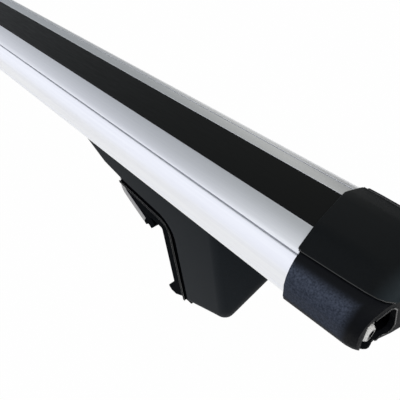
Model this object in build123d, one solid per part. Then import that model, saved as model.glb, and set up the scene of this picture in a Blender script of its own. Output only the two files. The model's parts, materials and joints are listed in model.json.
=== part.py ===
from build123d import *
import os

# Roof rack crossbar for raised rails: a hollow aluminium bar with two clamp feet and two end caps.
# Millimetres, +X along the bar, -Y the side of the key lock, +Z up, the feet stand on Z = 0.
# The right end is modelled; the left end is its mirror image in the YZ plane.
# Along the bar, x is measured outboard from EDGE_X; heights, z, are measured up from TOP_Z.

# Whole object
HALF_LENGTH = 600.0
CAP_LENGTH = 43.0
EDGE_X = HALF_LENGTH - CAP_LENGTH
TOP_Z = 113.4

# Bar section
LIP_Y = 12.1
LIP_DROP = 0.4
SHOULDER_Y = 24.0
SHOULDER_DROP = 3.1
FACE_MID = (29.7, -7.6)
NOSE_Y = 31.4
NOSE_DROP = 16.4
NOSE_TIP = (31.7, -17.8)
NOSE_UNDER = (31.0, -18.9)
KEEL_Y = 23.5
BAR_HEIGHT = 25.0
SKIN = 2.0
CORE_Y = 15.8
BAR_END = 6.0
GROOVE_Y = 23.2
GROOVE_W = 0.8
GROOVE_DEPTH = 0.9

# Top slot and rubber strip
SEAT_DROP = 1.6
SLOT_MOUTH = 18.0
SLOT_W = 28.0
SLOT_ROOF = 3.8
SLOT_FLOOR = 9.6
STRIP_W = 24.0
STRIP_STEM_W = 17.6
STRIP_BARB_W = 22.0
STRIP_BARB_DROP = 5.6
STRIP_EDGE = 0.6
STRIP_END = 5.0
STRIP_STEP = 0.3

# Bottom channel
CHANNEL_W = 24.0
CHANNEL_ROOF = 11.4
CHANNEL_FLOOR = 22.8
CHANNEL_MOUTH = 13.0

# End cap in two halves
# Stations of the lid are x, side inset and top drop; those of the tray are x, side inset and bottom rise.
LID_STATIONS = (
    (-12.0, 0.0, 0.0),
    (5.0, 0.0, 0.0),
    (24.0, 1.0, 0.15),
    (31.0, 1.5, 0.5),
    (35.0, 2.1, 1.05),
    (37.4, 3.0, 1.5),
    (39.2, 4.6, 1.9),
    (43.4, 6.6, 2.6),
)
TRAY_STATIONS = (
    (-12.0, 0.0, 0.0),
    (5.0, 0.0, 0.0),
    (33.0, 1.6, 0.4),
    (35.6, 2.2, 0.9),
    (37.3, 3.2, 1.6),
    (38.6, 4.8, 2.5),
    (43.4, 7.2, 5.6),
)
LID_END = 44.4
TRAY_END = 43.2
TRAY_FLAT_END = 41.8
CAP_END_SLOPE = 0.2
CAP_TOP = 1.4
CAP_FLAT_Y = 8.6
CAP_BEND_Y = 12.6
CAP_BEND_RISE = 1.15
CAP_BEVEL_Y = 16.4
CAP_BEVEL_RISE = 0.4
CAP_EDGE_Y = 24.7
CAP_PART = -1.7
CAP_PART_GAP = 0.55
CAP_SKIRT_Y = 22.4
CAP_SKIRT_Z = -4.0
SKIRT_END = 34.5
CAP_FACE_MID = (31.6, -6.4)
CAP_NOSE = (33.0, -15.5)
CAP_UNDER_MID = (30.7, -23.0)
CAP_KEEL = (24.0, -26.7)
CAP_NOSE_SHARE = 0.25
CAP_UNDER_SHARE = 0.9
CAP_BELLY_SHARE = 0.45
CAP_FLOOR_SHARE = 1.9
CAP_ARC_STEPS = 5
CAP_WALL = 2.2
CAP_FIT = 0.12
CAP_SWEEP_DEG = 10.5
CAP_SWEEP_X = -1.2
TRAY_SET_BACK = 1.3
CAP_BACK_DEG = -5.0
CAP_BACK_Y = 13.0

# Key opening in the end of the cap
KEY_X = 37.2
KEY_BACK = 34.8
KEY_R = 1.8
KEY_ROUND_FROM = -30.0
KEY_OUTLINE = (
    (-33.0, -24.4),
    (-33.0, -11.8),
    (-26.9, -7.4),
    (-19.0, -5.0),
    (-16.4, -7.4),
    (-13.8, -17.2),
    (-14.8, -20.8),
    (-22.3, -19.6),
    (-24.6, -23.0),
    (-26.0, -24.4),
)

# Wavy lower edge of the cap's end
SCOOP_EDGE = (
    (-25.9, -27.5),
    (-25.0, -25.6),
    (-23.9, -24.6),
    (-23.3, -21.6),
    (-21.9, -20.9),
    (-14.0, -22.4),
)
SCOOP_FALL = 1.15
SCOOP_DEPTH = 12.0

# Lock
LOCK_Y = -24.0
LOCK_Z = -17.2
LOCK_FACE = 35.9
LOCK_BACK = 14.0
LOCK_BODY_R = 4.6
LOCK_PLUG_R = 3.4
LOCK_GAP = 0.32
LOCK_BOSS_R = 6.4
LOCK_BOSS_X = 18.5
LOCK_LIP = 1.2
KEYWAY_W = 1.5
KEYWAY_H = 5.0
KEYWAY_DEPTH = 8.0
CAM_L = 12.0
CAM_W = 6.0
CAM_T = 2.0
CAM_BACK_GAP = 0.4
CATCH_X = 14.2
CATCH_T = 2.0
CATCH_Y = (-16.4, -11.6)
CATCH_Z = (-20.0, -13.4)

# Clamp bolt and what it drives
BOLT_Z = -17.0
BOLT_R = 3.0
BOLT_INNER = -174.0
HEAD_R = 5.0
HEAD_H = 6.0
SOCKET_AF = 5.0
SOCKET_DEPTH = 3.0
PLATE_T = 3.0
PLATE_W = 30.0
PLATE_H = 13.0
WASHER_R = 6.2
WASHER_T = 1.4
RUN_GAP = 0.4
FACE_GAP = 0.15
CLIP_R = 4.7
CLIP_T = 1.0
NUT_AF = 10.0
NUT_T = 5.0
NUT_X = -148.0
CARRIAGE_X = -141.0
CARRIAGE_L = 30.0
CARRIAGE_W = 23.2
CARRIAGE_LOW = -22.4
CARRIAGE_HIGH = -11.8

# Foot outline seen from the front, and its draft
TIP = (-166.0, -18.0)
WEDGE = (-134.0, -34.8)
SHOULDER = (-117.0, -38.0)
SHOULDER_END = (-72.5, -42.3)
LEG_TOP = (-71.8, -46.0)
LEG_END = (-65.7, -103.7)
HEEL = (-10.0, -75.8)
OUTBOARD = (0.0, -18.0)
ARCH_R = 14.0
FOOT_HALF_W = 26.0
DRAFT = 0.0732
DRAFT_BELOW = 10.0
CORNER_R = 6.0
FACET_R = 9.0
SOLE_R = 5.5
CORNER_COS = 0.85
FACET_TOP = (-40.5, -28.4)
FACET_LOW = (-36.4, -78.7)
FACET_BACK = (-20.5, -9.0, -28.4)
END_TOP = (-10.4, -0.5, -28.4)
END_LOW = (-33.4, -13.3, -83.6)
END_BACK = (-31.0, 24.0, -60.0)
HOUSING_WALL = 3.0
HOLLOW_LEG = 4.0
HOLLOW_RISE = 10.0
HOLLOW_END = 8.0
ARM_GAP = 0.3
ARM_WALL = 5.0
ARM_CHEEK = 4.0
CLAW_SLOT_HALF = 14.6
CLAW_SLOT_END = -113.0

# Arch frame and rail pad: distances out from the housing edge, towards the rail
FRAME_T = 6.0
FRAME_SET = 2.0
FRAME_START = -122.0
FRAME_END = -105.5
LIP_T = 1.3
LIP_SET = 0.7
PAD_OUT = 17.0
PAD_SET = 3.0
PAD_START = -111.0
PAD_END = -107.0
TOE = ((-73.0, -98.0), (-90.3, -110.6), (-87.4, -113.4), (-82.6, -113.4), (-73.0, -107.0))

# Foot fasteners
FOOT_BOLT_X = (-64.0, -36.0)
FOOT_BOLT_R = 2.5
FOOT_HEAD_AF = 9.0
FOOT_HEAD_H = 4.0
SLOT_PLATE_L = 54.0
SLOT_PLATE_W = 22.0
SLOT_PLATE_T = 2.3

# Claw
CLAW_HALF_W = 13.0
CLAW_T = 4.5
CLAW_STEM_X = -141.0
CLAW_HEAD_Z = -25.6
CLAW_BEND = (-141.0, -65.0)
CLAW_TOE = (-117.6, -77.3)
CLAW_BEND_R = 7.0
CLAW_BEND_SHARE = 0.4
NECK_HALF_W = 6.0
NECK_L = 15.0
FLANGE_L = 20.0
FLANGE_T = 4.0
CLAW_PAD_T = 7.0
CLAW_PAD_TOP = -46.0
CLAW_TEETH = ((-115.6, -78.6), (-112.9, -76.4), (-109.9, -78.2), (-105.6, -73.0))

# Screws that join the halves of the cap, from below into posts of the lid
CAP_SCREW_X = 25.0
CAP_SCREW_Y = (-9.0, 14.0)
CAP_SCREW_R = 1.5
CAP_SCREW_HEAD_AF = 5.5
CAP_SCREW_HEAD_H = 1.5
CAP_SCREW_TIP = -12.0
CAP_SEAT_R = 4.2
CAP_SEAT_Z = -26.6
CAP_SEAT_TOP = -23.0
CAP_POST_R = 2.8
CAP_POST_LOW = -22.7
CAP_POST_TOP = -0.2

# Reach of a cut past a face, and of a cut with no end
OVER = 1.0
BIG = 400.0


def end_x(x):
    # Place along the bar of a distance outboard of the cap's inner edge.
    return EDGE_X + x


def high(z):
    # Height above the ground of a height measured from the top of the strip.
    return TOP_Z + z


def section_plane(x):
    return Plane.YZ.offset(end_x(x))


def front_points(points):
    return [(end_x(x), high(z)) for x, z in points]


def front_face(points):
    return make_face(Polyline(*front_points(points), close=True))


def box_between(x0, x1, y0, y1, z0, z1):
    box = Box(x1 - x0, y1 - y0, z1 - z0)
    return Pos(end_x((x0 + x1) / 2), (y0 + y1) / 2, high((z0 + z1) / 2)) * box


def rod(x0, x1, y, z, radius):
    cylinder = Rot(0, 90, 0) * Cylinder(radius, x1 - x0)
    return Pos(end_x((x0 + x1) / 2), y, high(z)) * cylinder


def post(x, y, z0, z1, radius):
    return Pos(end_x(x), y, high((z0 + z1) / 2)) * Cylinder(radius, z1 - z0)


def square_post(x, y, z0, z1, half):
    return box_between(x - half, x + half, y - half, y + half, z0, z1)


def hexagon(across_flats):
    return RegularPolygon(across_flats / 2, 6, major_radius=False, rotation=0)


def hex_corner(across_flats):
    # Distance from the middle of a hexagon to its corners.
    return across_flats / 3**0.5


def hex_head(x, y, z0, z1, across_flats):
    face = Pos(end_x(x), y, high(z0)) * hexagon(across_flats)
    return extrude(face, z1 - z0)


def rect(y0, y1, z0, z1):
    return Pos((y0 + y1) / 2, high((z0 + z1) / 2)) * Rectangle(y1 - y0, z1 - z0)


# Bar section
def bar_outline():
    half = [
        Line((0, high(-LIP_DROP)), (LIP_Y, high(-LIP_DROP))),
        Line((LIP_Y, high(-LIP_DROP)), (SHOULDER_Y, high(-SHOULDER_DROP))),
        ThreePointArc(
            (SHOULDER_Y, high(-SHOULDER_DROP)),
            (FACE_MID[0], high(FACE_MID[1])),
            (NOSE_Y, high(-NOSE_DROP)),
        ),
        ThreePointArc(
            (NOSE_Y, high(-NOSE_DROP)),
            (NOSE_TIP[0], high(NOSE_TIP[1])),
            (NOSE_UNDER[0], high(NOSE_UNDER[1])),
        ),
        Line((NOSE_UNDER[0], high(NOSE_UNDER[1])), (KEEL_Y, high(-BAR_HEIGHT))),
        Line((KEEL_Y, high(-BAR_HEIGHT)), (0, high(-BAR_HEIGHT))),
    ]
    right = Curve() + half
    return make_face(right + mirror(right, about=Plane.YZ))


def bar_section():
    outline = bar_outline()
    hollow = offset(outline, -SKIN) - rect(-CORE_Y, CORE_Y, -BIG, BIG)
    section = outline - hollow
    section -= rect(-LIP_Y, LIP_Y, -SEAT_DROP, 0)
    section -= rect(-SLOT_MOUTH / 2, SLOT_MOUTH / 2, -SLOT_ROOF, 0)
    section -= rect(-SLOT_W / 2, SLOT_W / 2, -SLOT_FLOOR, -SLOT_ROOF)
    section -= rect(-CHANNEL_W / 2, CHANNEL_W / 2, -CHANNEL_FLOOR, -CHANNEL_ROOF)
    section -= rect(-CHANNEL_MOUTH / 2, CHANNEL_MOUTH / 2, -BAR_HEIGHT, -CHANNEL_FLOOR)
    for side in (-1, 1):
        groove = Pos(side * GROOVE_Y, high(-SHOULDER_DROP)) * Rectangle(GROOVE_W, 2 * GROOVE_DEPTH)
        section -= groove
    return section


def make_bar():
    return extrude(Plane.YZ * bar_section(), end_x(BAR_END), both=True)


def make_strip():
    crown = rect(-STRIP_W / 2, STRIP_W / 2, -SEAT_DROP, 0)
    crown = chamfer(crown.vertices().group_by(Axis.Y)[-1], STRIP_EDGE)
    stem = rect(-STRIP_STEM_W / 2, STRIP_STEM_W / 2, -SLOT_ROOF, -SEAT_DROP)
    barb = rect(-STRIP_BARB_W / 2, STRIP_BARB_W / 2, -STRIP_BARB_DROP, -SLOT_ROOF)
    barb = chamfer(barb.vertices().group_by(Axis.Y)[0], STRIP_EDGE)
    strip = extrude(Plane.YZ * (crown + stem + barb), end_x(STRIP_END), both=True)
    step = Pos(BIG / 2, 0, BIG / 2 - STRIP_STEP) * Box(BIG, BIG, BIG)
    step = Pos(end_x(CAP_SWEEP_X - FACE_GAP), 0, TOP_Z) * Rot(0, 0, CAP_SWEEP_DEG) * step
    return strip - step - mirror(step, about=Plane.YZ)


# End cap
def cap_socket():
    # Room for the end of the bar and its strip.
    half = LIP_Y + CAP_FIT
    hole = offset(bar_outline(), CAP_FIT) + rect(-half, half, -SEAT_DROP, CAP_FIT)
    return extrude(section_plane(-BIG / 4) * hole, BIG / 4 + BAR_END + CAP_FIT)


def arc_points(start, middle, end):
    # Evenly spaced points on an arc, both ends among them.
    arc = ThreePointArc(start, middle, end)
    return [tuple(arc @ (i / CAP_ARC_STEPS))[:2] for i in range(CAP_ARC_STEPS + 1)]


def both_sides(half):
    # Closed face with the given half outline on the right, and its mirror image on the left.
    return make_face(Polyline(*half, *[(-y, z) for y, z in reversed(half)], close=True))


def cap_upper_section(side, drop):
    # Lid section: flat top, bent shoulders and a skirt that fits inside the lower half.
    flatter = 1 - drop / (CAP_TOP - CAP_PART)
    narrower = 1 - side / CAP_EDGE_Y
    top = high(CAP_TOP - drop)
    bend = high(CAP_PART + (CAP_BEND_RISE - CAP_PART) * flatter)
    bevel = high(CAP_PART + (CAP_BEVEL_RISE - CAP_PART) * flatter)
    part = high(CAP_PART)
    low = high(CAP_SKIRT_Z)
    flat_y = CAP_FLAT_Y * narrower
    bend_y = CAP_BEND_Y * narrower
    bevel_y = CAP_BEVEL_Y * narrower
    edge_y = CAP_EDGE_Y - side
    skirt_y = CAP_SKIRT_Y - side
    shoulder = arc_points((flat_y, top), (bend_y, bend), (bevel_y, bevel))
    return both_sides([*shoulder, (edge_y, part), (skirt_y, part), (skirt_y, low)])


def cap_upper_hollow_section(side, drop):
    # Room under the lid.
    top = high(CAP_TOP - drop - CAP_WALL)
    low = high(2 * CAP_SKIRT_Z)
    flat_y = CAP_FLAT_Y * (1 - side / CAP_EDGE_Y)
    skirt_y = CAP_SKIRT_Y - side - CAP_WALL
    eave = high(CAP_PART - CAP_WALL / 2)
    return both_sides([(flat_y, top), (skirt_y, eave), (skirt_y, low)])


def cap_lower_section(side, rise):
    # Tray section: rounded flanks from the parting line down to a flat keel.
    top = high(CAP_PART - CAP_PART_GAP)
    face = high(CAP_FACE_MID[1])
    nose = high(CAP_NOSE[1] + CAP_NOSE_SHARE * rise)
    under = high(CAP_UNDER_MID[1] + CAP_UNDER_SHARE * rise)
    keel = high(CAP_KEEL[1] + rise)
    belly = side * CAP_BELLY_SHARE
    edge_y = CAP_EDGE_Y - side
    face_y = CAP_FACE_MID[0] - (side + belly) / 2
    nose_y = CAP_NOSE[0] - belly
    under_y = CAP_UNDER_MID[0] - belly
    keel_y = CAP_KEEL[0] - belly
    flank = arc_points((edge_y, top), (face_y, face), (nose_y, nose))
    belly_side = arc_points((nose_y, nose), (under_y, under), (keel_y, keel))
    return both_sides([*flank, *belly_side[1:]])


def cap_lower_hollow_section(side, rise):
    # Room inside the tray, open at the top for the lid's skirt.
    belly = side * CAP_BELLY_SHARE
    half = [
        (CAP_SKIRT_Y - side + FACE_GAP, CAP_TOP),
        (CAP_SKIRT_Y - side + FACE_GAP, CAP_SKIRT_Z - FACE_GAP),
        (CAP_FACE_MID[0] - (side + belly) / 2 - CAP_WALL, CAP_FACE_MID[1] - CAP_WALL / 2),
        (CAP_NOSE[0] - belly - CAP_WALL, CAP_NOSE[1] + CAP_NOSE_SHARE * rise),
        (CAP_UNDER_MID[0] - belly - CAP_WALL, CAP_UNDER_MID[1] + CAP_UNDER_SHARE * rise + CAP_WALL),
        (CAP_KEEL[0] - belly - CAP_WALL, CAP_KEEL[1] + CAP_FLOOR_SHARE * rise + CAP_WALL),
    ]
    return both_sides([(y, high(z)) for y, z in half])


def cap_loft(section, stations):
    faces = [section_plane(x) * section(first, second) for x, first, second in stations]
    return loft(faces, ruled=True)


def end_block(end, flat_end):
    # Everything inboard of the bluntly pointed end.
    reach = BIG / 4
    points = [
        (end_x(-reach), -reach),
        (end_x(end - CAP_END_SLOPE * reach), -reach),
        (end_x(flat_end), (flat_end - end) / CAP_END_SLOPE),
        (end_x(flat_end), (end - flat_end) / CAP_END_SLOPE),
        (end_x(end - CAP_END_SLOPE * reach), reach),
        (end_x(-reach), reach),
    ]
    return extrude(make_face(Polyline(*points, close=True)), 2 * TOP_Z)


def cap_sweep_cut(set_back):
    # What lies inboard of the swept inner edge, which straightens over the back bevel.
    block = Pos(-BIG / 2, 0, 0) * Box(BIG, BIG, BIG)
    swept = Pos(end_x(CAP_SWEEP_X + set_back), 0, high(0)) * Rot(0, 0, CAP_SWEEP_DEG)
    cut = swept * block
    return cut + swept * Pos(0, CAP_BACK_Y, 0) * Rot(0, 0, CAP_BACK_DEG - CAP_SWEEP_DEG) * block


def make_cap_upper(socket):
    hollow = cap_loft(cap_upper_hollow_section, LID_STATIONS)
    hollow &= end_block(LID_END - CAP_WALL, CAP_LENGTH - CAP_WALL)
    lid = (cap_loft(cap_upper_section, LID_STATIONS) & end_block(LID_END, CAP_LENGTH)) - hollow
    for y in CAP_SCREW_Y:
        lid += square_post(CAP_SCREW_X, y, CAP_POST_LOW, CAP_POST_TOP, CAP_POST_R)
        lid -= post(CAP_SCREW_X, y, CAP_POST_LOW - OVER, CAP_SCREW_TIP, CAP_SCREW_R)
    lid -= box_between(SKIRT_END, BIG, -BIG, BIG, CAP_SKIRT_Z - OVER, CAP_PART)
    return lid - socket - cap_sweep_cut(0)


def key_opening():
    # Through the end wall, and further in behind the rim of the front wall.
    hole = make_face(Polyline(*[(y, high(z)) for y, z in KEY_OUTLINE], close=True))
    inner = [v for v in hole.vertices() if v.X > KEY_ROUND_FROM]
    hole = fillet(inner, KEY_R)
    behind = hole & rect(KEY_ROUND_FROM + KEY_R, BIG, -BIG, BIG)
    return extrude(section_plane(KEY_X) * hole, BIG) + extrude(section_plane(KEY_BACK) * behind, BIG)


def end_scoop():
    # What lies below the wavy lower edge of the slanted end face, falling away inboard.
    low = SCOOP_EDGE[0][1] - CAP_WALL
    points = [*SCOOP_EDGE, (0, SCOOP_EDGE[-1][1]), (0, low), (SCOOP_EDGE[0][0], low)]
    stretch = (1 + CAP_END_SLOPE**2) ** 0.5
    face = make_face(Polyline(*[(y * stretch, high(z)) for y, z in points], close=True))
    end_face = Plane((end_x(TRAY_END), 0, 0), x_dir=(CAP_END_SLOPE, 1, 0), z_dir=(1, -CAP_END_SLOPE, 0))
    deep = extrude(end_face * face, SCOOP_DEPTH, dir=(-1, 0, -SCOOP_FALL))
    return deep + extrude(end_face * face, SCOOP_DEPTH, dir=(1, 0, SCOOP_FALL))


def lid_room():
    # Room between the tray's edges for the lid's skirt over the bar's end.
    half = CAP_SKIRT_Y + FACE_GAP
    return box_between(LID_STATIONS[0][0], LID_STATIONS[1][0], -half, half, CAP_SKIRT_Z, CAP_TOP)


def make_cap_lower(socket):
    shell = cap_loft(cap_lower_section, TRAY_STATIONS) & end_block(TRAY_END, TRAY_FLAT_END)
    hollow = cap_loft(cap_lower_hollow_section, TRAY_STATIONS)
    hollow &= end_block(TRAY_END - CAP_WALL, TRAY_FLAT_END - CAP_WALL)
    cap = shell - hollow - lid_room() - socket - end_scoop()
    boss = rod(LOCK_BOSS_X, LOCK_FACE - LOCK_LIP, LOCK_Y, LOCK_Z, LOCK_BOSS_R)
    cap += boss & shell
    cap -= rod(LOCK_BACK - OVER, BIG, LOCK_Y, LOCK_Z, LOCK_BODY_R)
    cap -= key_opening()
    for y in CAP_SCREW_Y:
        cap += square_post(CAP_SCREW_X, y, CAP_SEAT_Z, CAP_SEAT_TOP, CAP_SEAT_R)
        cap -= post(CAP_SCREW_X, y, CAP_SEAT_Z - OVER, CAP_SEAT_TOP + OVER, CAP_SCREW_R + FACE_GAP)
    return cap - cap_sweep_cut(TRAY_SET_BACK)


def make_cap_screws():
    screws = []
    for y in CAP_SCREW_Y:
        head = hex_head(CAP_SCREW_X, y, CAP_SEAT_Z - CAP_SCREW_HEAD_H, CAP_SEAT_Z, CAP_SCREW_HEAD_AF)
        screws.append(head + post(CAP_SCREW_X, y, CAP_SEAT_Z, CAP_SCREW_TIP, CAP_SCREW_R))
    return screws


# Lock
def make_lock_body():
    body = rod(LOCK_BACK, LOCK_FACE, LOCK_Y, LOCK_Z, LOCK_BODY_R)
    return body - rod(LOCK_BACK - OVER, BIG, LOCK_Y, LOCK_Z, LOCK_PLUG_R + LOCK_GAP)


def make_lock_plug():
    plug = rod(LOCK_BACK - CAM_BACK_GAP, LOCK_FACE - LOCK_LIP / 2, LOCK_Y, LOCK_Z, LOCK_PLUG_R)
    keyway = Box(2 * KEYWAY_DEPTH, KEYWAY_W, KEYWAY_H)
    return plug - Pos(end_x(LOCK_FACE - LOCK_LIP / 2), LOCK_Y, high(LOCK_Z)) * keyway


def make_lock_cam():
    x1 = LOCK_BACK - CAM_BACK_GAP
    half = CAM_W / 2
    return box_between(x1 - CAM_T, x1, LOCK_Y - half, LOCK_Y + CAM_L - half, LOCK_Z - half, LOCK_Z + half)


# Clamp drive
def make_thrust_plate():
    plate = box_between(BAR_END, BAR_END + PLATE_T, -PLATE_W / 2, PLATE_W / 2, BOLT_Z - PLATE_H / 2,
                        BOLT_Z + PLATE_H / 2)
    plate += box_between(BAR_END, CATCH_X + CATCH_T, CATCH_Y[1] - CATCH_T, CATCH_Y[1], *CATCH_Z)
    plate += box_between(CATCH_X, CATCH_X + CATCH_T, *CATCH_Y, *CATCH_Z)
    return plate - rod(0, BIG, 0, BOLT_Z, BOLT_R + RUN_GAP)


def make_washer():
    x0 = BAR_END + PLATE_T
    washer = rod(x0, x0 + WASHER_T, 0, BOLT_Z, WASHER_R)
    return washer - rod(0, BIG, 0, BOLT_Z, BOLT_R + RUN_GAP)


def make_clamp_bolt():
    x0 = BAR_END + PLATE_T + WASHER_T + FACE_GAP
    bolt = rod(BOLT_INNER, x0, 0, BOLT_Z, BOLT_R) + rod(x0, x0 + HEAD_H, 0, BOLT_Z, HEAD_R)
    socket = section_plane(x0 + HEAD_H - SOCKET_DEPTH) * Pos(0, high(BOLT_Z)) * hexagon(SOCKET_AF)
    return bolt - extrude(socket, BIG)


def make_bolt_clip():
    x1 = BAR_END - FACE_GAP
    return rod(x1 - CLIP_T, x1, 0, BOLT_Z, CLIP_R) - rod(-BIG, BIG, 0, BOLT_Z, BOLT_R)


def make_clamp_nut():
    nut = extrude(section_plane(NUT_X - NUT_T / 2) * Pos(0, high(BOLT_Z)) * hexagon(NUT_AF), NUT_T)
    return nut - rod(-BIG, BIG, 0, BOLT_Z, BOLT_R + RUN_GAP)


def make_carriage():
    half = CARRIAGE_L / 2
    block = box_between(CARRIAGE_X - half, CARRIAGE_X + half, -CARRIAGE_W / 2, CARRIAGE_W / 2,
                        CARRIAGE_LOW, CARRIAGE_HIGH)
    room = BOLT_R + 2 * RUN_GAP
    block -= box_between(-BIG, BIG, -room, room, BOLT_Z - room, BOLT_Z + room)
    nut_half = hex_corner(NUT_AF) + FACE_GAP
    return block - box_between(NUT_X - NUT_T / 2, NUT_X + NUT_T / 2, -nut_half, nut_half, -BIG, 0)


# Foot
def crossing(p, d, q, e):
    # Where the line through p along d meets the line through q along e.
    k = ((q[0] - p[0]) * e[1] - (q[1] - p[1]) * e[0]) / (d[0] * e[1] - d[1] * e[0])
    return (p[0] + k * d[0], p[1] + k * d[1])


def unit(p, q):
    length = ((q[0] - p[0]) ** 2 + (q[1] - p[1]) ** 2) ** 0.5
    return ((q[0] - p[0]) / length, (q[1] - p[1]) / length)


def arch_region(out):
    # Everything on the foot's side of the arch, moved out by a distance towards the rail.
    along = unit(SHOULDER, SHOULDER_END)
    down = unit(LEG_TOP, LEG_END)
    p = (SHOULDER[0] + along[1] * out, SHOULDER[1] - along[0] * out)
    q = (LEG_END[0] + down[1] * out, LEG_END[1] - down[0] * out)
    corner = crossing(p, along, q, down)
    far_in = (p[0] - along[0] * BIG, p[1] - along[1] * BIG)
    far_down = (q[0] + down[0] * BIG, q[1] + down[1] * BIG)
    face = front_face((far_in, corner, far_down, (BIG, -BIG), (BIG, BIG), (-BIG, BIG)))
    sharp = face.vertices().sort_by_distance(front_points([corner])[0])[0]
    radius = ARCH_R - out
    return fillet(sharp, radius) if radius > 0 else face


def foot_outline():
    slope = unit(HEEL, LEG_END)
    below = (SHOULDER[0], HEEL[1] + slope[1] / slope[0] * (SHOULDER[0] - HEEL[0]))
    return front_face((TIP, WEDGE, SHOULDER, below, HEEL, OUTBOARD))


def foot_half_width(z):
    return FOOT_HALF_W + DRAFT * (BAR_HEIGHT + z)


def draft_block(inset):
    # Long wedge whose sides lean in towards the ground.
    low = -TOP_Z - DRAFT_BELOW
    half = [(foot_half_width(z) - inset, high(z)) for z in (0, low)]
    return extrude(section_plane(-BIG) * both_sides(half), 2 * BIG)


def front_solid(face, half_width=FOOT_HALF_W * 2):
    return extrude(Plane.XZ * face, half_width, both=True)


def bar_block():
    return extrude(section_plane(-BIG) * bar_outline(), 2 * BIG)


def beyond_plane(points, outward, inset):
    # What lies beyond the plane through three points, moved in by a wall.
    first, second, third = (Vector(end_x(x), y, high(z)) for x, y, z in points)
    normal = (second - first).cross(third - first).normalized()
    if normal.dot(Vector(*outward)) < 0:
        normal = normal * -1
    return extrude(Plane(first - normal * inset, z_dir=normal) * Rectangle(BIG, BIG), BIG / 4)


def facet_cut(inset):
    # The slanted outboard corner on the lock's side, and the raked outboard end.
    top = (FACET_TOP[0], -foot_half_width(FACET_TOP[1]), FACET_TOP[1])
    low = (FACET_LOW[0], -foot_half_width(FACET_LOW[1]), FACET_LOW[1])
    facet = beyond_plane((top, low, FACET_BACK), (0, -1, 0), inset)
    return [facet, beyond_plane((END_TOP, END_LOW, END_BACK), (1, 0, 0), inset)]


def upright_edges(body, y0, y1):
    # The long upright edges of the outboard end between two distances across the bar.
    steep = [e for e in body.edges() if abs(e.tangent_at(0.5).Z) > CORNER_COS]
    outboard = [e for e in steep if e.center().X > end_x(FACET_TOP[0]) - CORNER_R]
    return [e for e in outboard if y0 < e.center().Y < y1]


def sole_edge(edge):
    # True for the edges round the sole, apart from the one at the arch.
    rise = (HEEL[1] - LEG_END[1]) / (HEEL[0] - LEG_END[0])
    middle = edge.position_at(0.5)
    height = middle.Z - high(LEG_END[1]) - rise * (middle.X - end_x(LEG_END[0]))
    return abs(height) < ARM_GAP and middle.X > end_x(LEG_END[0]) + CORNER_R


def make_housing():
    outline = foot_outline()
    body = front_solid(outline & arch_region(0)) & draft_block(0)
    body -= facet_cut(0)
    body = fillet(upright_edges(body, -BIG, END_LOW[1]), FACET_R)
    body = fillet(upright_edges(body, END_LOW[1], BIG), CORNER_R)
    body = fillet([e for e in body.edges() if sole_edge(e)], SOLE_R)
    inner = offset(outline, -HOUSING_WALL)
    leg = LEG_END[0] + HOLLOW_LEG
    room = inner + front_face((TIP, WEDGE, SHOULDER, (SHOULDER[0], -BIG), (leg, -BIG),
                               (leg, LEG_END[1] + HOLLOW_RISE), (OUTBOARD[0] - HOLLOW_END, 0), (TIP[0], 0)))
    pocket = (front_solid(room) & draft_block(HOUSING_WALL)) - facet_cut(HOUSING_WALL)
    return body - pocket - bar_block()


def claw_slot():
    return box_between(-BIG, CLAW_SLOT_END, -CLAW_SLOT_HALF, CLAW_SLOT_HALF, -BIG, 0)


def make_arm():
    # Cast arm inside the housing: a top plate, an arch plate and two cheeks.
    face = offset(foot_outline(), -HOUSING_WALL - ARM_GAP) & arch_region(0)
    below_bar = front_face(((-BIG, -BAR_HEIGHT), (BIG, -BAR_HEIGHT), (BIG, -BIG), (-BIG, -BIG)))
    arm = front_solid(face & below_bar) & draft_block(HOUSING_WALL + ARM_GAP)
    under_plate = front_face(((-BIG, -BAR_HEIGHT - ARM_WALL), (BIG, -BAR_HEIGHT - ARM_WALL), (BIG, -BIG),
                              (-BIG, -BIG)))
    pocket = front_solid(arch_region(-ARM_WALL) & under_plate)
    pocket &= draft_block(HOUSING_WALL + ARM_GAP + ARM_CHEEK)
    arm = arm - pocket - claw_slot() - facet_cut(HOUSING_WALL + ARM_GAP)
    for x in FOOT_BOLT_X:
        arm -= post(x, 0, -BAR_HEIGHT - 2 * ARM_WALL, 0, FOOT_BOLT_R + RUN_GAP / 2)
    return arm


def band(inner, outer, start, end):
    limits = front_face(((start, 0), (BIG, 0), (BIG, end), (start, end)))
    return (arch_region(outer) - arch_region(inner)) & limits


def make_frame():
    frame = front_solid(band(0, FRAME_T, FRAME_START, FRAME_END)) & draft_block(FRAME_SET)
    lip = front_solid(band(FRAME_T - LIP_T, FRAME_T, FRAME_START, FRAME_END)) & draft_block(LIP_SET)
    return frame + lip - claw_slot()


def make_rail_pad():
    pad = band(FRAME_T, PAD_OUT, PAD_START, PAD_END) + (front_face(TOE) - arch_region(FRAME_T))
    return front_solid(pad) & draft_block(PAD_SET)


def make_foot_bolts():
    bolts = []
    low = -BAR_HEIGHT - ARM_WALL
    for x in FOOT_BOLT_X:
        head = hex_head(x, 0, low - FOOT_HEAD_H, low, FOOT_HEAD_AF)
        bolts.append(head + post(x, 0, low, -CHANNEL_FLOOR + SLOT_PLATE_T, FOOT_BOLT_R))
    return bolts


def make_slot_plate():
    middle = sum(FOOT_BOLT_X) / len(FOOT_BOLT_X)
    half = SLOT_PLATE_L / 2
    plate = box_between(middle - half, middle + half, -SLOT_PLATE_W / 2, SLOT_PLATE_W / 2,
                        -CHANNEL_FLOOR, -CHANNEL_FLOOR + SLOT_PLATE_T)
    for x in FOOT_BOLT_X:
        plate -= post(x, 0, -BIG, 0, FOOT_BOLT_R)
    return plate


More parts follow.
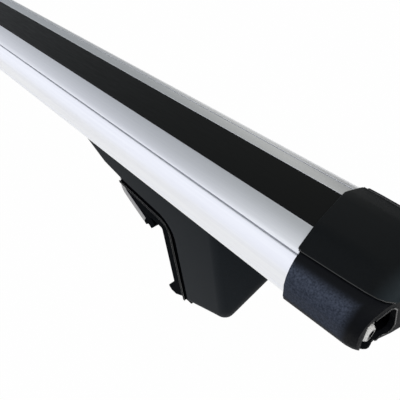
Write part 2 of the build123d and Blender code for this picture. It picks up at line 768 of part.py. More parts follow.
# Claw
def claw_face(near, far):
    # Bent strip between two distances from the claw's inboard face, stem and leaf.
    slope = unit(CLAW_BEND, CLAW_TOE)
    outline = []
    for gap in (near, far):
        leaf = (CLAW_BEND[0] - slope[1] * gap, CLAW_BEND[1] + slope[0] * gap)
        toe = (CLAW_TOE[0] - slope[1] * gap, CLAW_TOE[1] + slope[0] * gap)
        bend = crossing((CLAW_STEM_X + gap, 0), (0, 1), leaf, slope)
        outline.append((bend, toe))
    (bend0, toe0), (bend1, toe1) = outline
    top = CLAW_HEAD_Z if near == 0 else CLAW_PAD_TOP
    face = front_face(((bend0[0], top), bend0, toe0, toe1, bend1, (bend1[0], top)))
    for bend, gap in ((bend0, near), (bend1, far)):
        corner = face.vertices().sort_by_distance(front_points([bend])[0])[0]
        face = fillet(corner, CLAW_BEND_R - gap * CLAW_BEND_SHARE)
    return face


def make_claw():
    claw = front_solid(claw_face(0, CLAW_T), CLAW_HALF_W)
    x0 = CARRIAGE_X - FLANGE_L / 2
    claw += box_between(x0, x0 + FLANGE_L, -CLAW_HALF_W, CLAW_HALF_W, CLAW_HEAD_Z - FLANGE_T, CLAW_HEAD_Z)
    x1 = CARRIAGE_X - NECK_L / 2
    return claw + box_between(x1, x1 + NECK_L, -NECK_HALF_W, NECK_HALF_W, CLAW_HEAD_Z, CARRIAGE_LOW)


def make_claw_pad():
    slope = unit(CLAW_BEND, CLAW_TOE)
    heel = (CLAW_TOE[0] - slope[1] * CLAW_T, CLAW_TOE[1] + slope[0] * CLAW_T)
    back = (heel[0] - slope[1] * CLAW_PAD_T, heel[1] + slope[0] * CLAW_PAD_T)
    teeth = front_face((CLAW_TOE, *CLAW_TEETH, back, heel))
    return front_solid(claw_face(CLAW_T, CLAW_T + CLAW_PAD_T) + teeth, CLAW_HALF_W)


def as_solids(shape):
    if isinstance(shape, list):
        return Compound(children=[piece.solid() for piece in shape])
    return shape.solid() if len(shape.solids()) == 1 else Compound(children=list(shape.solids()))


def main():
    os.makedirs("parts", exist_ok=True)
    socket = cap_socket()
    ends = {
        "end_cap_upper": make_cap_upper(socket),
        "end_cap_lower": make_cap_lower(socket),
        "cap_screws": make_cap_screws(),
        "lock_body": make_lock_body(),
        "lock_plug": make_lock_plug(),
        "lock_cam": make_lock_cam(),
        "thrust_plate": make_thrust_plate(),
        "bolt_washer": make_washer(),
        "clamp_bolt": make_clamp_bolt(),
        "bolt_clip": make_bolt_clip(),
        "clamp_nut": make_clamp_nut(),
        "claw_carriage": make_carriage(),
        "claw": make_claw(),
        "claw_pad": make_claw_pad(),
        "foot_housing": make_housing(),
        "foot_arm": make_arm(),
        "arch_frame": make_frame(),
        "rail_pad": make_rail_pad(),
        "foot_bolts": make_foot_bolts(),
        "slot_plate": make_slot_plate(),
    }
    export_step(as_solids(make_bar()), "parts/bar_extrusion.step")
    export_step(as_solids(make_strip()), "parts/top_strip.step")
    for name, shape in ends.items():
        right = as_solids(shape)
        export_step(right, f"parts/{name}_right.step")
        export_step(mirror(right, about=Plane.YZ), f"parts/{name}_left.step")


main()
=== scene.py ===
import json
import math
import bmesh
import bpy
from mathutils import Matrix, Vector
from mathutils.bvhtree import BVHTree


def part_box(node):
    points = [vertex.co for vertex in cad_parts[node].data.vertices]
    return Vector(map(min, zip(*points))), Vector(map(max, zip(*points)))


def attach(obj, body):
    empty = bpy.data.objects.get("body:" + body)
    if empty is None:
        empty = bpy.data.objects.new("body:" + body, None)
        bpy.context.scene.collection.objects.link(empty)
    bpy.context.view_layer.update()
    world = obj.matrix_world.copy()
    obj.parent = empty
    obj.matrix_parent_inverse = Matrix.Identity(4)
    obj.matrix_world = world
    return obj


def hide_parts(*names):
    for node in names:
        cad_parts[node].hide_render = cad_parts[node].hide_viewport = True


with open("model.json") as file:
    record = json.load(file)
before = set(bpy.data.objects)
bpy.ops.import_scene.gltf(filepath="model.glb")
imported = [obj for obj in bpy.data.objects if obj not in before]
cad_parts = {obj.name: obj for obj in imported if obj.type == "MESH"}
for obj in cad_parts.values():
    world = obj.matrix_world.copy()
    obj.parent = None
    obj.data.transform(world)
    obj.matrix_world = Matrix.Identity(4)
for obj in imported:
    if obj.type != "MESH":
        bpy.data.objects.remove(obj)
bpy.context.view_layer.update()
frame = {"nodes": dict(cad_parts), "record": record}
nodes = frame["nodes"]
print("frame loaded:", len(nodes), "nodes")

ends = ("right", "left")
bodyOfNode = {nodeName: bodyName for bodyName, nodeNames in frame["record"]["behaviour"]["bodies"].items()
              for nodeName in nodeNames}
slotOfNode = {row["node"]: row["material_slot"] for row in frame["record"]["subparts"]}


def linkedObject(name, data):
    made = bpy.data.objects.new(name, data)
    bpy.context.collection.objects.link(made)
    return made


# camera at the photograph's angle: metres, lens and sensor in millimetres
cameraSet = {
    "place": (0.62635, -0.12748, 0.22972),
    "right": (0.6525, 0.7578, 0.0),
    "up": (-0.4788, 0.4123, 0.7751),
    "lens": 41.4,
    "sensor": 36.0,
    "clipStart": 0.01,
}


def makeCamera(s):
    data = bpy.data.cameras.new("photoCamera")
    data.lens = s["lens"]
    data.sensor_width = s["sensor"]
    data.sensor_fit = "HORIZONTAL"
    data.clip_start = s["clipStart"]
    camera = linkedObject("photoCamera", data)
    right = Vector(s["right"]).normalized()
    up = Vector(s["up"]).normalized()
    turn = Matrix((right, up, right.cross(up))).transposed().to_4x4()
    camera.matrix_world = Matrix.Translation(s["place"]) @ turn
    bpy.context.scene.camera = camera


makeCamera(cameraSet)
print("camera set")


# shader nodes that repeat; a value is a number or another node's output
def mathNode(tree, operation, *values):
    node = tree.nodes.new("ShaderNodeMath")
    node.operation = operation
    for socket, value in zip(node.inputs, values):
        if isinstance(value, (int, float)):
            socket.default_value = value
        else:
            tree.links.new(value, socket)
    return node.outputs[0]


def mapRange(tree, value, start=(0.0, 1.0), result=(0.0, 1.0), kind="LINEAR"):
    node = tree.nodes.new("ShaderNodeMapRange")
    node.interpolation_type = kind
    for label, number in zip(("From Min", "From Max", "To Min", "To Max"), (*start, *result)):
        node.inputs[label].default_value = number
    tree.links.new(value, node.inputs["Value"])
    return node.outputs[0]


def mixTones(tree, share, first, second):
    mix = tree.nodes.new("ShaderNodeMix")
    mix.data_type = "RGBA"
    if isinstance(first, tuple):
        mix.inputs["A"].default_value = (*first, 1)
    else:
        tree.links.new(first, mix.inputs["A"])
    mix.inputs["B"].default_value = (*second, 1)
    tree.links.new(share, mix.inputs["Factor"])
    return mix.outputs["Result"]


def mixShaders(tree, share, first, second, outKind):
    mix = tree.nodes.new("ShaderNodeMixShader")
    for socket, value in zip(mix.inputs, (share, first.outputs[0], second.outputs[0])):
        tree.links.new(value, socket)
    out = tree.nodes.new(outKind)
    tree.links.new(mix.outputs[0], out.inputs["Surface"])


# floor, world and lamps
stageSet = {
    "floorSize": 12.0,
    "floorCells": 8,
    "floorDrop": -0.0004,
    "floorColour": (0.34, 0.34, 0.34, 1),
    "floorWhite": 0.99,  # share of white where the floor is the background
    "white": (1, 1, 1, 1),
    "worldBright": (-0.60, -0.75, 0.25),  # the side that the big soft light comes from
    "worldTones": (
        # 0 is the side away from the big soft light, 1 is the side towards it
        (0.00, (0.10, 0.10, 0.10)),
        (0.26, (0.14, 0.14, 0.14)),
        (0.35, (0.58, 0.585, 0.56)),
        (0.42, (0.46, 0.465, 0.445)),
        (0.50, (0.34, 0.355, 0.355)),
        (0.60, (0.31, 0.33, 0.34)),
        (0.70, (0.40, 0.42, 0.45)),
        (0.78, (0.58, 0.60, 0.64)),
        (0.84, (0.98, 1.00, 1.07)),
        (0.88, (1.07, 1.085, 1.16)),
    ),
    "lamps": (
        # name, place, aim, size, power
        ("keyLamp", (1.5, -0.8, 2.3), (0.55, 0.0, 0.09), 1.0, 14.0),
        ("topLamp", (-0.24, -0.05, 2.2), (0.4, 0.0, 0.1), 1.1, 1.8),
        ("endLamp", (1.25, 0.37, 1.29), (0.59, 0.0, 0.1), 0.6, 8.0),
    ),
}


def cameraSees(tree):
    # 1 for rays that show the background: straight, in gloss or through glass
    ray = tree.nodes.new("ShaderNodeLightPath").outputs
    first = mathNode(tree, "MAXIMUM", ray["Is Camera Ray"], ray["Is Glossy Ray"])
    return mathNode(tree, "MAXIMUM", first, ray["Is Transmission Ray"])


def makeWorld(s):
    world = bpy.data.worlds.new("studioWorld")
    bpy.context.scene.world = world
    world.use_nodes = True
    tree = world.node_tree
    tree.nodes.clear()
    add, link = tree.nodes.new, tree.links.new
    side = add("ShaderNodeVectorMath")
    side.operation = "DOT_PRODUCT"
    side.inputs[1].default_value = Vector(s["worldBright"]).normalized()
    link(add("ShaderNodeTexCoord").outputs["Generated"], side.inputs[0])
    ramp = add("ShaderNodeValToRGB")
    stops = ramp.color_ramp.elements
    while len(stops) < len(s["worldTones"]):
        stops.new(1.0)
    for stop, (spot, tone) in zip(stops, s["worldTones"]):
        stop.position = spot
        stop.color = (*tone, 1)
    link(mapRange(tree, side.outputs["Value"], (-1.0, 1.0)), ramp.inputs["Fac"])
    lit = add("ShaderNodeBackground")
    link(ramp.outputs["Color"], lit.inputs["Color"])
    seen = add("ShaderNodeBackground")
    seen.inputs["Color"].default_value = s["white"]
    straight = add("ShaderNodeLightPath").outputs["Is Camera Ray"]
    mixShaders(tree, straight, lit, seen, "ShaderNodeOutputWorld")


def makeFloor(s):
    bm = bmesh.new()
    cells = s["floorCells"]
    bmesh.ops.create_grid(bm, x_segments=cells, y_segments=cells, size=s["floorSize"] / 2)
    bmesh.ops.translate(bm, verts=bm.verts, vec=(0, 0, s["floorDrop"]))
    mesh = bpy.data.meshes.new("studioFloor")
    bm.to_mesh(mesh)
    bm.free()
    floor = linkedObject("studioFloor", mesh)
    paint = bpy.data.materials.new("floorPaint")
    paint.use_nodes = True
    tree = paint.node_tree
    tree.nodes.clear()
    matt = tree.nodes.new("ShaderNodeBsdfDiffuse")
    matt.inputs["Color"].default_value = s["floorColour"]
    glow = tree.nodes.new("ShaderNodeEmission")
    glow.inputs["Color"].default_value = s["white"]
    share = mathNode(tree, "MULTIPLY", cameraSees(tree), s["floorWhite"])
    mixShaders(tree, share, matt, glow, "ShaderNodeOutputMaterial")
    mesh.materials.append(paint)


def makeLamps(s):
    for name, place, aim, size, power in s["lamps"]:
        data = bpy.data.lights.new(name, "AREA")
        data.shape = "DISK"
        data.size = size
        data.energy = power
        lamp = linkedObject(name, data)
        lamp.location = place
        lamp.rotation_euler = (Vector(aim) - Vector(place)).to_track_quat("-Z", "Y").to_euler()


makeWorld(stageSet)
makeFloor(stageSet)
makeLamps(stageSet)
bpy.context.scene.view_settings.view_transform = "Standard"
print("stage and lamps set")

# finishes: two tones, metal, roughness range, shine, grain in metres, its stretch, bump depth in metres
finishSet = {
    "bar_aluminium": dict(tones=((0.84, 0.85, 0.87), (0.80, 0.81, 0.84)), metal=1.0,
                          rough=(0.30, 0.38), shine=0.5, grain=0.0009, stretch=(0.012, 1, 1), bump=0.000002,
                          # painted shade in the thin grooves: its tone, the grooves' middles and half widths
                          # across the bar, lowest height
                          grooveShadeTone=(0.62, 0.63, 0.65), lines=((-0.02525, 0.00043), (0.02065, 0.00033)),
                          lineAbove=0.100),
    "strip_rubber": dict(tones=((0.0008, 0.0011, 0.0011), (0.0014, 0.0018, 0.0017)), metal=0.0,
                         rough=(0.42, 0.52), shine=0.11, grain=0.0012, stretch=(0.10, 1, 1), bump=0.000012),
    # painted light on a moulding, with no grain bump where it lies: painted highlight at the lid's outer end,
    # painted shade on the tray; its tone, and where it fades in: outwards along the bar, upwards and
    # downwards
    "cap_lid": dict(tones=((0.0018, 0.0025, 0.0031), (0.0026, 0.0036, 0.0044)), metal=0.0,
                    rough=(0.34, 0.40), shine=0.11, grain=0.0008, stretch=(1, 1, 1), bump=0.000006,
                    # painted highlight: a paler tone towards the lid's outer end
                    paintedLightTone=(0.0120, 0.0170, 0.0200), paintedLightBeyond=(0.5880, 0.5965)),
    "cap_tray": dict(tones=((0.0200, 0.0250, 0.0370), (0.0600, 0.0710, 0.1000)), metal=0.0,
                     rough=(0.50, 0.66), shine=0.05, grain=0.0007, stretch=(1, 1, 1), bump=0.00006,
                     # painted shade: darker towards the tray's end and key opening, in a band under the lid's
                     # edge, and towards the bottom
                     paintedLightTone=(0.0038, 0.0043, 0.0055), paintedLightBeyond=(0.5855, 0.5905),
                     paintedLightAbove=(0.1075, 0.1105), paintedLightBelow=(0.0965, 0.0925)),
    "foot_plastic": dict(tones=((0.0145, 0.0175, 0.0205), (0.0190, 0.0225, 0.0260)), metal=0.0,
                         rough=(0.44, 0.54), shine=0.025, grain=0.0007, stretch=(1, 1, 1), bump=0.000015),
    "frame_plastic": dict(tones=((0.0014, 0.0018, 0.0023), (0.0022, 0.0027, 0.0034)), metal=0.0,
                          rough=(0.36, 0.46), shine=0.004, grain=0.0009, stretch=(1, 1, 1), bump=0.00001),
    "cast_arm": dict(tones=((0.42, 0.42, 0.42), (0.32, 0.32, 0.33)), metal=1.0,
                     rough=(0.48, 0.62), shine=0.5, grain=0.0012, stretch=(1, 1, 1), bump=0.00004),
    "pad_rubber": dict(tones=((0.0030, 0.0037, 0.0048), (0.0046, 0.0056, 0.0070)), metal=0.0,
                       rough=(0.56, 0.70), shine=0.004, grain=0.0008, stretch=(1, 1, 1), bump=0.00002),
    "claw_metal": dict(tones=((0.34, 0.34, 0.34), (0.25, 0.25, 0.26)), metal=1.0,
                       rough=(0.32, 0.46), shine=0.5, grain=0.0010, stretch=(1, 1, 0.2), bump=0.00002),
    "carriage_plastic": dict(tones=((0.018, 0.018, 0.019), (0.026, 0.026, 0.027)), metal=0.0,
                             rough=(0.46, 0.58), shine=0.40, grain=0.0012, stretch=(1, 1, 1), bump=0.00002),
    "zinc_steel": dict(tones=((0.62, 0.63, 0.64), (0.50, 0.52, 0.55)), metal=1.0,
                       rough=(0.28, 0.42), shine=0.5, grain=0.0010, stretch=(1, 1, 1), bump=0.00001),
    "lock_zinc": dict(tones=((0.74, 0.73, 0.70), (0.62, 0.61, 0.60)), metal=0.35,
                      rough=(0.26, 0.36), shine=0.5, grain=0.0008, stretch=(1, 1, 1), bump=0.00001),
    "lock_chrome": dict(tones=((0.84, 0.83, 0.80), (0.79, 0.78, 0.76)), metal=0.20,
                        rough=(0.24, 0.34), shine=0.5, grain=0.0008, stretch=(1, 1, 1), bump=0.000005),
    "edge_gloss": dict(tones=((0.0060, 0.0063, 0.0066), (0.0100, 0.0104, 0.0108)), metal=0.0,
                       rough=(0.16, 0.24), shine=0.55, grain=0.0006, stretch=(1, 1, 1), bump=0.000004),
}
grainDetail = 3.0
grainSpread = (0.30, 0.70)  # the noise values between which a finish goes from one tone to the other


def splitPlace(tree, place):
    split = tree.nodes.new("ShaderNodeSeparateXYZ")
    tree.links.new(place, split.inputs[0])
    return split.outputs


def paintedLightShare(tree, place, s):
    # 1 where a moulding has its painted light tone, a painted highlight or painted shade without grain: near
    # the bar's ends, and above and below a grained band
    spot = splitPlace(tree, place)
    outward = mathNode(tree, "ABSOLUTE", spot["X"])
    share = 0.0
    for key, value in (("paintedLightBeyond", outward), ("paintedLightAbove", spot["Z"]), ("paintedLightBelow", spot["Z"])):
        if key in s:
            share = mathNode(tree, "MAXIMUM", share, mapRange(tree, value, s[key], kind="SMOOTHSTEP"))
    return share


def grooveShadeShare(tree, place, s):
    # 1 inside the thin grooves along the bar, where painted shade goes
    spot = splitPlace(tree, place)
    lines = [mathNode(tree, "COMPARE", spot["Y"], middle, half) for middle, half in s["lines"]]
    above = mathNode(tree, "GREATER_THAN", spot["Z"], s["lineAbove"])
    return mathNode(tree, "MULTIPLY", mathNode(tree, "MAXIMUM", *lines), above)


def makeFinish(name, s):
    paint = bpy.data.materials.new(name)
    paint.use_nodes = True
    tree = paint.node_tree
    add, link = tree.nodes.new, tree.links.new
    shader = tree.nodes["Principled BSDF"]
    place = add("ShaderNodeTexCoord").outputs["Object"]
    scale = add("ShaderNodeMapping")
    scale.inputs["Scale"].default_value = s["stretch"]
    link(place, scale.inputs["Vector"])
    fine = add("ShaderNodeTexNoise")
    fine.inputs["Scale"].default_value = 1 / s["grain"]
    fine.inputs["Detail"].default_value = grainDetail
    link(scale.outputs[0], fine.inputs["Vector"])
    spread = mapRange(tree, fine.outputs["Fac"], grainSpread)
    colour = mixTones(tree, spread, *s["tones"])
    bump = add("ShaderNodeBump")
    bump.inputs["Distance"].default_value = s["bump"]
    # painted light over the grain: a painted highlight or painted shade, with the grain bump faded out there
    if "paintedLightTone" in s:
        plain = paintedLightShare(tree, place, s)
        colour = mixTones(tree, plain, colour, s["paintedLightTone"])
        link(mathNode(tree, "SUBTRACT", 1.0, plain), bump.inputs["Strength"])
    # painted shade darkens the thin grooves
    if "grooveShadeTone" in s:
        colour = mixTones(tree, grooveShadeShare(tree, place, s), colour, s["grooveShadeTone"])
    link(colour, shader.inputs["Base Color"])
    link(mapRange(tree, spread, result=s["rough"]), shader.inputs["Roughness"])
    link(fine.outputs["Fac"], bump.inputs["Height"])
    link(bump.outputs[0], shader.inputs["Normal"])
    shader.inputs["Metallic"].default_value = s["metal"]
    shader.inputs["Specular IOR Level"].default_value = s["shine"]
    return paint


finishes = {name: makeFinish(name, s) for name, s in finishSet.items()}
print("finishes made:", len(finishes))


def addPiece(name, mesh, body, slot, *replaced, finish=None):
    # a finished mesh that moves with a body, and stands for the named solids
    mesh.materials.clear()
    mesh.materials.append(finishes[finish or slot])
    piece = linkedObject(name, mesh)
    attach(piece, body)
    if replaced:
        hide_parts(*replaced)


def bakeMesh(source, name):
    # the evaluated shape as a plain mesh; the source object goes away
    graph = bpy.context.evaluated_depsgraph_get()
    shape = source.evaluated_get(graph)
    mesh = bpy.data.meshes.new_from_object(shape, preserve_all_data_layers=True, depsgraph=graph)
    mesh.name = name
    source.modifiers.clear()
    bpy.data.objects.remove(source)
    return mesh


# rounded skins: merged copies of the solids with softened edges
skinSet = {
    # kind of node: edge rounding in metres, its steps, angle in degrees that counts as an edge,
    # and whether flat faces stay flat
    "bar_extrusion": (0.00020, 2, 26, False),
    "top_strip": (0.00030, 3, 26, True),
    "end_cap_upper": (0.00045, 3, 33, True),
    "end_cap_lower": (0.00012, 2, 33, True),
    "foot_housing": (0.00035, 2, 33, True),
    "arch_frame": (0.00045, 3, 30, True),
    "rail_pad": (0.00080, 3, 30, True),
    "claw": (0.00050, 3, 30, True),
    "claw_pad": (0.00040, 3, 24, True),
    "lock_body": (0.00035, 3, 30, True),
    "lock_plug": (0.00020, 2, 30, True),
}
plainSkin = (0.00015, 2, 30, True)
# shares of the rounding to try where a wide one folds over, and whether flat faces are joined first
roundTries = ((1.0, True), (0.6, True), (1.0, False), (0.6, False), (0.35, True), (0.35, False),
              (0.2, True), (0.2, False), (0.0, False))
roundReach = (0.00002, 0.7)  # how far a skin may lie from its solid: metres, and share of the rounding
sureSkins = ("top_strip",)  # too long and thin for a fair measure of that distance
flatWeight = 90  # how strongly wide faces keep flat faces flat
mergeGap = 0.000002
flatAngle = math.radians(0.4)
sharpEdge = math.radians(30)


def kindOf(nodeName):
    for end in ends:
        nodeName = nodeName.removesuffix("_" + end)
    return nodeName


def mergedCopy(nodeName, joinFlat=True):
    bm = bmesh.new()
    bm.from_mesh(nodes[nodeName].data)
    bmesh.ops.remove_doubles(bm, verts=bm.verts, dist=mergeGap)
    if joinFlat:
        bmesh.ops.dissolve_limit(bm, angle_limit=flatAngle, verts=bm.verts, edges=bm.edges)
    return bm


def meshFrom(bm, name):
    for face in bm.faces:
        face.smooth = True
    mesh = bpy.data.meshes.new(name)
    bm.to_mesh(mesh)
    bm.free()
    return mesh


def roundedMesh(nodeName, bm, edge, steps, angle, even):
    skin = linkedObject(nodeName + "Draft", meshFrom(bm, nodeName + "Skin"))
    if edge:
        bevel = skin.modifiers.new("softEdges", "BEVEL")
        bevel.width = edge
        bevel.segments = steps
        bevel.limit_method = "ANGLE"
        bevel.angle_limit = math.radians(angle)
        bevel.use_clamp_overlap = False
        bevel.miter_outer = "MITER_ARC"
        bevel.harden_normals = True
    if even:
        shade = skin.modifiers.new("evenShade", "WEIGHTED_NORMAL")
        shade.mode = "FACE_AREA"
        shade.weight = flatWeight
    return bakeMesh(skin, nodeName + "_skin")


def furthest(mesh, solid):
    # the largest distance of the mesh's triangles from the solid
    mesh.calc_loop_triangles()
    corners = [vert.co for vert in mesh.vertices]
    middles = [sum((corners[i] for i in tri.vertices), Vector()) / 3 for tri in mesh.loop_triangles]
    return max(solid.find_nearest(middle)[3] for middle in middles)


def addSkin(nodeName, mesh):
    addPiece(nodeName + "_skin", mesh, bodyOfNode[nodeName], slotOfNode[nodeName], nodeName)


def makeSkin(nodeName):
    edge, steps, angle, even = skinSet.get(kindOf(nodeName), plainSkin)
    bm = bmesh.new()
    bm.from_mesh(nodes[nodeName].data)
    solid = BVHTree.FromBMesh(bm)
    bm.free()
    for share, joinFlat in roundTries:
        mesh = roundedMesh(nodeName, mergedCopy(nodeName, joinFlat), edge * share, steps, angle, even)
        reach = roundReach[0] + roundReach[1] * edge * share
        if share == 0 or nodeName in sureSkins or furthest(mesh, solid) < reach:
            break
        bpy.data.meshes.remove(mesh)
    if (share, joinFlat) != roundTries[0]:
        print(nodeName, "rounded by", round(edge * share * 1000, 3), "mm")
    addSkin(nodeName, mesh)


# the bar: its section is read from its end face, and the thin grooves move to where the photograph has them
barSet = {
    "node": "bar_extrusion",
    "stripTop": 0.1134,
    "upper": 0.009,  # the bar's upper side reaches this far below the strip's top
    "oldGroove": (0.0226, 0.0238),  # reach across the bar of the notch in the solid
    "oldDepth": 0.0045,
    "groove": {-1: (0.0248, 0.0257), 1: (0.0203, 0.0210)},  # on the lock's side and on the other
    "grooveDepth": 0.0011,
    "bevelWidth": 0.008,  # an upper side wider than this is a bevel
    "bevelCrown": 0.00028,
    "bevelSteps": 8,
}


def sectionLoops(bm):
    # outlines of the end face at the right, as lists of (y, z)
    last = max(vert.co.x for vert in bm.verts)
    onEnd = {vert for vert in bm.verts if vert.co.x > last - mergeGap}
    rim = [edge for edge in bm.edges if onEnd.issuperset(edge.verts)
           and any(not onEnd.issuperset(face.verts) for face in edge.link_faces)]
    following = {}
    for edge in rim:
        a, b = edge.verts
        following.setdefault(a, []).append(b)
        following.setdefault(b, []).append(a)
    loops = []
    while following:
        start = next(iter(following))
        loop, here, before = [], start, None
        while here in following:
            loop.append((here.co.y, here.co.z))
            here, before = next((v for v in following.pop(here) if v is not before), start), here
        loops.append(loop)
    return loops


def stepsOf(loop):
    # each point of an outline with the one after it
    return zip(loop, loop[1:] + loop[:1])


def crownBevels(loop, s):
    # the wide bevels beside the strip swell a little
    crowned = []
    for (y, z), (yNext, zNext) in stepsOf(loop):
        crowned.append((y, z))
        upper = z > s["stripTop"] - s["upper"] and y * yNext > 0
        if upper and abs(abs(yNext) - abs(y)) > s["bevelWidth"]:
            for step in range(1, s["bevelSteps"]):
                share = step / s["bevelSteps"]
                swell = 4 * share * (1 - share) * s["bevelCrown"]
                crowned.append((y + share * (yNext - y), z + share * (zNext - z) + swell))
    return crowned


def moveGroove(loop, s):
    # the outline without the solid's notches, and with new ones straight down
    low, high = s["oldGroove"]
    plain = [(y, z) for y, z in loop if not (low < abs(y) < high and s["stripTop"] - z < s["oldDepth"])]
    cut = []
    for (y, z), (yNext, zNext) in stepsOf(crownBevels(plain, s)):
        side = 1 if y > 0 else -1
        near, far = s["groove"][side]
        upper = z > s["stripTop"] - s["upper"] and y * yNext > 0
        if not upper:
            cut.append((y, z))
            continue
        if not near < abs(y) < far:
            cut.append((y, z))
        outward = abs(yNext) > abs(y)
        for wall in (near, far) if outward else (far, near):
            if (abs(y) - wall) * (abs(yNext) - wall) < 0:
                share = (wall - abs(y)) / (abs(yNext) - abs(y))
                rim = (side * wall, z + share * (zNext - z))
                floor = (rim[0], rim[1] - s["grooveDepth"])
                cut.extend((rim, floor) if (wall == near) == outward else (floor, rim))
    return cut


def drawOut(loops, reach):
    bm = bmesh.new()
    rims = []
    for x in reach:
        rows = [[bm.verts.new((x, y, z)) for y, z in loop] for loop in loops]
        edges = [bm.edges.new((row[i - 1], row[i])) for row in rows for i in range(len(row))]
        bmesh.ops.triangle_fill(bm, use_beauty=True, edges=edges)
        rims.append(rows)
    for near, far in zip(*rims):
        for i in range(len(near)):
            bm.faces.new((near[i - 1], near[i], far[i], far[i - 1]))
    bmesh.ops.recalc_face_normals(bm, faces=bm.faces)
    return bm


def makeBar(s):
    bm = mergedCopy(s["node"])
    loops = sectionLoops(bm)
    bm.free()
    reach = [corner[0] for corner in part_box(s["node"])]
    bm = drawOut([moveGroove(loop, s) for loop in loops], reach)
    addSkin(s["node"], roundedMesh(s["node"], bm, *skinSet[s["node"]]))
    print("bar drawn from", len(loops), "outlines")


makeBar(barSet)
for nodeName in nodes:
    if nodeName != barSet["node"]:
        makeSkin(nodeName)
print("skins made:", len(nodes))


# polished beads along moulded edges; metres, and parts of a face's normal
lidRimSet = {"under": -0.7, "over": 0.3}
keyRimSet = {
    "keyPlace": (-0.0225, 0.0984),  # y and z of the middle of the key opening
    "rimStart": 0.5955,  # along the bar, where the cap's outer rim begins
    "endFace": 0.6,
    "wall": 0.5,
    "inward": 0.001,
}
lipSet = {"halfWidth": 0.026, "draft": 0.0732, "from": 0.0884, "below": 0.00085}


def lidRim(edge):
    # a lower edge of the lid
    under, over = sorted(face.normal.z for face in edge.link_faces)
    return under < lidRimSet["under"] and over > lidRimSet["over"]


def keyRim(edge):
    # an outer corner between the end face and a wall that looks into the key opening
    s = keyRimSet
    wall, face = sorted(edge.link_faces, key=lambda face: abs(face.normal.x))
    middle = (edge.verts[0].co + edge.verts[1].co) / 2
    keyY, keyZ = s["keyPlace"]
    inward = wall.normal.y * (keyY - middle.y) + wall.normal.z * (keyZ - middle.z)
    outer = edge.is_convex and abs(middle.x) > s["rimStart"]
    turned = abs(face.normal.x) > s["endFace"] and abs(wall.normal.x) < s["wall"]
    return outer and turned and inward > s["inward"]


def raisedLip(edge):
    # the outer edges of the arch's lip, which leans with the foot
    s = lipSet
    return all(abs(vert.co.y) > s["halfWidth"] + s["draft"] * (vert.co.z - s["from"]) - s["below"]
               for vert in edge.verts)


beadSet = {
    # kind of node: bead radius, and the edges that get one
    "end_cap_upper": (0.00022, lidRim),
    "end_cap_lower": (0.00030, keyRim),
    "arch_frame": (0.00018, raisedLip),
}
beadSides = 8
beadLeast = 0.002  # a lone edge shorter than this gets no bead
beadTrim = (0.0008, 0.5)  # a bead stops this far short of its edge's end: metres, and most of the edge


def beadTree():
    tree = bpy.data.node_groups.new("edgeBead", "GeometryNodeTree")
    add, link = tree.nodes.new, tree.links.new
    tree.interface.new_socket("Geometry", in_out="INPUT", socket_type="NodeSocketGeometry")
    for label, kind in (("Radius", "Float"), ("Sides", "Int"), ("Finish", "Material")):
        tree.interface.new_socket(label, in_out="INPUT", socket_type="NodeSocket" + kind)
    tree.interface.new_socket("Geometry", in_out="OUTPUT", socket_type="NodeSocketGeometry")
    given = add("NodeGroupInput").outputs
    path = add("GeometryNodeMeshToCurve")
    link(given["Geometry"], path.inputs["Mesh"])
    ring = add("GeometryNodeCurvePrimitiveCircle")
    link(given["Radius"], ring.inputs["Radius"])
    link(given["Sides"], ring.inputs["Resolution"])
    tube = add("GeometryNodeCurveToMesh")
    tube.inputs["Fill Caps"].default_value = True
    link(path.outputs["Curve"], tube.inputs["Curve"])
    link(ring.outputs["Curve"], tube.inputs["Profile Curve"])
    smooth = add("GeometryNodeSetShadeSmooth")
    link(tube.outputs["Mesh"], smooth.inputs["Geometry"])
    real = add("GeometryNodeRealizeInstances")
    link(smooth.outputs["Geometry"], real.inputs["Geometry"])
    paint = add("GeometryNodeSetMaterial")
    link(real.outputs["Geometry"], paint.inputs["Geometry"])
    link(given["Finish"], paint.inputs["Material"])
    link(paint.outputs["Geometry"], add("NodeGroupOutput").inputs["Geometry"])
    return tree


def runTree(tree, mesh, name, **values):
    # the tree's result on a mesh, as a plain mesh
    source = linkedObject(name + "Draft", mesh)
    modifier = source.modifiers.new(name, "NODES")
    modifier.node_group = tree
    for socket in tree.interface.items_tree:
        if socket.in_out == "INPUT" and socket.name in values:
            modifier[socket.identifier] = values[socket.name]
    return bakeMesh(source, name)


def edgeMesh(nodeName, wanted):
    # the wanted sharp edges of a solid, a little short at their loose ends
    bm = mergedCopy(nodeName)
    keep = [edge for edge in bm.edges if len(edge.link_faces) == 2
            and edge.calc_face_angle(0) > sharpEdge and wanted(edge)]
    joined = [vert for edge in keep for vert in edge.verts]
    keep = [edge for edge in keep if edge.calc_length() > beadLeast
            or any(joined.count(vert) > 1 for vert in edge.verts)]
    places, pairs = {}, []
    for edge in keep:
        for vert in edge.verts:
            places.setdefault(vert, len(places))
        pairs.append([places[vert] for vert in edge.verts])
    spots = [vert.co.copy() for vert in places]
    used = [spot for pair in pairs for spot in pair]
    trim, most = beadTrim
    for a, b in pairs:
        for spot, other in ((a, b), (b, a)):
            if used.count(spot) == 1:
                along = spots[other] - spots[spot]
                spots[spot] += along * min(most, trim / along.length)
    mesh = bpy.data.meshes.new(nodeName + "Edges")
    mesh.from_pydata(spots, pairs, [])
    bm.free()
    return mesh


def makeBeads():
    tree = beadTree()
    gloss = "edge_gloss"
    for kind, (radius, wanted) in beadSet.items():
        for end in ends:
            node = kind + "_" + end
            name = node + "_bead"
            mesh = runTree(tree, edgeMesh(node, wanted), name, Radius=radius, Sides=beadSides,
                           Finish=finishes[gloss])
            print(name, len(mesh.polygons), "faces")
            addPiece(name, mesh, bodyOfNode[node], slotOfNode[node], finish=gloss)


makeBeads()

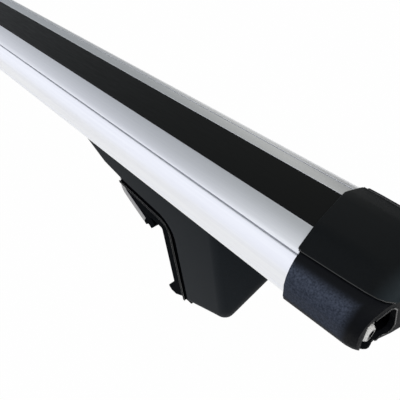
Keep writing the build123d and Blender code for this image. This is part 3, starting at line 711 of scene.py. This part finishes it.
# the nose of the lock's plug: a bright ring and a dark face with the keyway, turned about the lock's own line
lockSet = {
    "line": (-0.024, 0.0962),  # y and z
    # outlines of places along the bar and radii
    "ring": ((0.5918, 0.0034), (0.5937, 0.0034), (0.5945, 0.0028), (0.59455, 0.0020), (0.5918, 0.0020)),
    "face": ((0.5918, 0.0), (0.5918, 0.00198), (0.59455, 0.00198), (0.59455, 0.0)),
    "keyway": (0.0014, 0.0032),  # width and height
    "keywayDepth": 0.0018,
    "steps": 64,
}


def turnProfile(profile, s, side):
    # an outline turned about the lock's line; one that starts on the line isn't closed
    bm = bmesh.new()
    lineY, lineZ = s["line"]
    turns = [2 * math.pi * i / s["steps"] for i in range(s["steps"])]
    rows = []
    for along, radius in profile:
        spots = [(lineY + radius * math.cos(turn), lineZ + radius * math.sin(turn)) for turn in turns]
        rows.append([bm.verts.new((side * along, y, z)) for y, z in (spots if radius > 0 else spots[:1])])
    closed = profile[0][1] > 0
    for row, other in zip(rows, rows[1:] + (rows[:1] if closed else [])):
        for i in range(s["steps"]):
            around = ((row, i - 1), (row, i), (other, i), (other, i - 1))
            corners = dict.fromkeys(line[j % len(line)] for line, j in around)  # a pole comes once
            bm.faces.new(list(corners))
    bmesh.ops.recalc_face_normals(bm, faces=bm.faces)
    return bm


def keywayCutter(s, side):
    bm = bmesh.new()
    front = max(along for along, radius in s["face"])
    size = Matrix.Diagonal((2 * s["keywayDepth"], *s["keyway"], 1))
    bmesh.ops.create_cube(bm, size=1.0, matrix=Matrix.Translation((side * front, *s["line"])) @ size)
    return linkedObject("keywayDraft", meshFrom(bm, "keywayDraft"))


def makeLockFace(s, end):
    side = 1 if end == "right" else -1
    plug = "lock_plug_" + end
    ring = meshFrom(turnProfile(s["ring"], s, side), "lock_ring_" + end)
    ring.set_sharp_from_angle(angle=sharpEdge)
    addPiece(ring.name, ring, bodyOfNode[plug], slotOfNode[plug])
    plate = linkedObject("faceDraft", meshFrom(turnProfile(s["face"], s, side), "faceDraft"))
    cutter = keywayCutter(s, side)
    keyway = plate.modifiers.new("keyway", "BOOLEAN")
    keyway.operation = "DIFFERENCE"
    keyway.solver = "EXACT"
    keyway.object = cutter
    mesh = bakeMesh(plate, "lock_face_" + end)
    bpy.data.objects.remove(cutter)
    mesh.set_sharp_from_angle(angle=sharpEdge)
    addPiece(mesh.name, mesh, bodyOfNode[plug], slotOfNode[plug], finish="edge_gloss")


for end in ends:
    makeLockFace(lockSet, end)
print("lock faces made")
